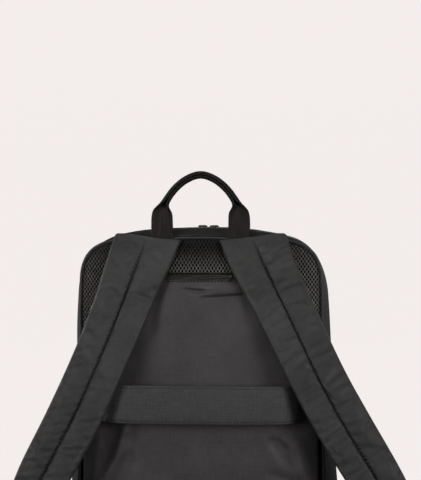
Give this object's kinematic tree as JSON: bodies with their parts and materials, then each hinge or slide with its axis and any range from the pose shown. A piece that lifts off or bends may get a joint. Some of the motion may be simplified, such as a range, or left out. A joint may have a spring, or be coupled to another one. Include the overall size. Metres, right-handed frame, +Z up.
{
  "type": "laptop backpack",
  "caption": "Upright zipped backpack with a padded air-mesh back, a back pocket, a band for a suitcase handle, padded shoulder straps and a webbing grab handle.",
  "frame": {"origin": "middle of the flat base, on the floor", "axes": "+Z up, -Y the side that lies on the wearer's back, +X to the right when that side is looked at"},
  "size_m": [0.4705, 0.1938, 0.4924],
  "materials": {
    "pack_fabric": "satin woven nylon",
    "gusset_fabric": "plain woven nylon",
    "strap_fabric": "padded woven nylon",
    "air_mesh": "matte spacer mesh",
    "webbing": "ribbed webbing",
    "zip_tape": "knitted zip tape with a coil",
    "black_plastic": "fine moulded grain"
  },
  "bodies": {
    "root": {"back_panel": "air_mesh", "pocket_panel": "pack_fabric", "pocket_binding": "webbing", "trolley_band": "pack_fabric", "zip_gusset_rear": "gusset_fabric", "main_zip": "zip_tape", "zip_gusset_front": "gusset_fabric", "base_gusset": "gusset_fabric", "front_panel": "pack_fabric", "zip_slider_left": "black_plastic", "zip_slider_right": "black_plastic", "grab_handle": "webbing", "shoulder_strap_left": "strap_fabric", "shoulder_strap_right": "strap_fabric", "lock_tab_left": "webbing", "lock_tab_right": "webbing", "ladder_lock_left": "black_plastic", "ladder_lock_right": "black_plastic", "strap_webbing_left": "webbing", "strap_webbing_right": "webbing"}
  },
  "joints": []
}
